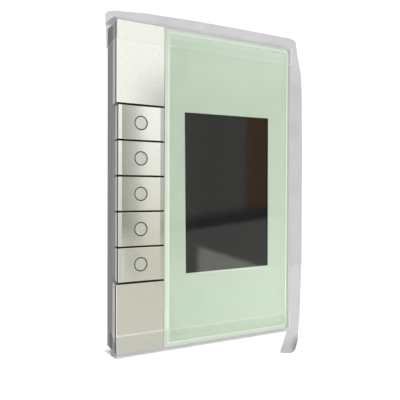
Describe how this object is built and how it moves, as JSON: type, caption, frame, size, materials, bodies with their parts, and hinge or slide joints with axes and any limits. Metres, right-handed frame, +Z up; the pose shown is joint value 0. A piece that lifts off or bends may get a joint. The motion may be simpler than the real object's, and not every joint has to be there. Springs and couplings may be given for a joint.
{
  "type": "wall control panel",
  "caption": "Flat wall control panel with a column of ring-marked push keys beside a glass front with a display window, an in-wall housing and a clip-off clear dust cover.",
  "frame": {"origin": "midway between the two wall screws, on the wall plane", "axes": "+Z up, +X to the right as seen from the front, +Y into the wall; the face looks along -Y"},
  "size_m": [0.0866, 0.037, 0.1306],
  "materials": {
    "bracket_steel": "zinc-plated, matt",
    "base_plastic": "fine texture",
    "housing_plastic": "fine texture",
    "circuit_board": "solder mask",
    "black_plastic": "matt",
    "switch_steel": "satin",
    "white_plastic": "matt",
    "display_film": "gloss",
    "display_glass": "gloss",
    "bezel_steel": "satin",
    "flex_film": "gloss",
    "capacitor_sleeve": "gloss",
    "ferrite": "matt",
    "contact_metal": "polished",
    "screw_steel": "bright",
    "label_paper": "satin",
    "fascia_plastic": "satin",
    "front_glass": "polished",
    "glass_print": "matt print",
    "black_tape": "matt",
    "gasket_foam": "foam",
    "silver_paint": "satin metallic",
    "lens_plastic": "satin",
    "terminal_green": "semi-gloss",
    "clear_plastic": "clear film"
  },
  "bodies": {
    "base": {"mounting_bracket": "bracket_steel", "base_frame": "base_plastic", "rear_housing": "housing_plastic", "main_pcb": "circuit_board", "power_pcb": "circuit_board", "board_header": "black_plastic", "board_socket": "black_plastic", "switch_bodies": "switch_steel", "indicator_leds": "white_plastic", "control_chips": "black_plastic", "piezo_sounder": "black_plastic", "lcd_polarizer": "display_film", "lcd_cell": "display_glass", "lcd_backlight": "white_plastic", "lcd_bezel": "bezel_steel", "lcd_flex": "flex_film", "lcd_connector": "white_plastic", "capacitors": "capacitor_sleeve", "isolation_transformer": "ferrite", "bus_socket": "terminal_green", "bus_pins": "contact_metal", "housing_screws": "screw_steel", "pcb_screws": "screw_steel", "rating_label": "label_paper"},
    "fascia": {"fascia_frame": "fascia_plastic", "front_glass": "front_glass", "glass_mask": "glass_print", "glass_tape": "black_tape", "display_gasket": "gasket_foam", "top_blank": "silver_paint", "bottom_blank": "silver_paint"},
    "key_1": {"key_cap_1": "silver_paint", "key_body_1": "fascia_plastic", "key_lens_1": "lens_plastic"},
    "key_2": {"key_cap_2": "silver_paint", "key_body_2": "fascia_plastic", "key_lens_2": "lens_plastic"},
    "key_3": {"key_cap_3": "silver_paint", "key_body_3": "fascia_plastic", "key_lens_3": "lens_plastic"},
    "key_4": {"key_cap_4": "silver_paint", "key_body_4": "fascia_plastic", "key_lens_4": "lens_plastic"},
    "key_5": {"key_cap_5": "silver_paint", "key_body_5": "fascia_plastic", "key_lens_5": "lens_plastic"},
    "stem_1": {"switch_stem_1": "black_plastic"},
    "stem_2": {"switch_stem_2": "black_plastic"},
    "stem_3": {"switch_stem_3": "black_plastic"},
    "stem_4": {"switch_stem_4": "black_plastic"},
    "stem_5": {"switch_stem_5": "black_plastic"},
    "dust_cover": {"clear_dust_cover": "clear_plastic"},
    "bus_plug_body": {"bus_plug": "terminal_green", "terminal_screws": "screw_steel"}
  },
  "joints": [
    {"name": "fascia_pull", "type": "slide", "parent": "base", "child": "fascia", "axis": [0, -1, 0], "range_m": [0, 0.02]},
    {"name": "key_1_press", "type": "slide", "parent": "fascia", "child": "key_1", "axis": [0, 1, 0], "range_m": [0, 0.0006], "stiffness_N_per_m": 2000, "springref_m": -0.0004},
    {"name": "key_2_press", "type": "slide", "parent": "fascia", "child": "key_2", "axis": [0, 1, 0], "range_m": [0, 0.0006], "stiffness_N_per_m": 2000, "springref_m": -0.0004},
    {"name": "key_3_press", "type": "slide", "parent": "fascia", "child": "key_3", "axis": [0, 1, 0], "range_m": [0, 0.0006], "stiffness_N_per_m": 2000, "springref_m": -0.0004},
    {"name": "key_4_press", "type": "slide", "parent": "fascia", "child": "key_4", "axis": [0, 1, 0], "range_m": [0, 0.0006], "stiffness_N_per_m": 2000, "springref_m": -0.0004},
    {"name": "key_5_press", "type": "slide", "parent": "fascia", "child": "key_5", "axis": [0, 1, 0], "range_m": [0, 0.0006], "stiffness_N_per_m": 2000, "springref_m": -0.0004},
    {"name": "stem_1_press", "type": "slide", "parent": "base", "child": "stem_1", "axis": [0, 1, 0], "range_m": [0, 0.0006]},
    {"name": "stem_2_press", "type": "slide", "parent": "base", "child": "stem_2", "axis": [0, 1, 0], "range_m": [0, 0.0006]},
    {"name": "stem_3_press", "type": "slide", "parent": "base", "child": "stem_3", "axis": [0, 1, 0], "range_m": [0, 0.0006]},
    {"name": "stem_4_press", "type": "slide", "parent": "base", "child": "stem_4", "axis": [0, 1, 0], "range_m": [0, 0.0006]},
    {"name": "stem_5_press", "type": "slide", "parent": "base", "child": "stem_5", "axis": [0, 1, 0], "range_m": [0, 0.0006]},
    {"name": "dust_cover_pull", "type": "slide", "parent": "fascia", "child": "dust_cover", "axis": [0, -1, 0], "range_m": [0, 0.03]},
    {"name": "bus_plug_pull", "type": "slide", "parent": "base", "child": "bus_plug_body", "axis": [0, 1, 0], "range_m": [0, 0.01]}
  ],
  "couplings": [
    {"joint": "stem_1_press", "follows": "key_1_press", "ratio": 1},
    {"joint": "stem_2_press", "follows": "key_2_press", "ratio": 1},
    {"joint": "stem_3_press", "follows": "key_3_press", "ratio": 1},
    {"joint": "stem_4_press", "follows": "key_4_press", "ratio": 1},
    {"joint": "stem_5_press", "follows": "key_5_press", "ratio": 1}
  ]
}
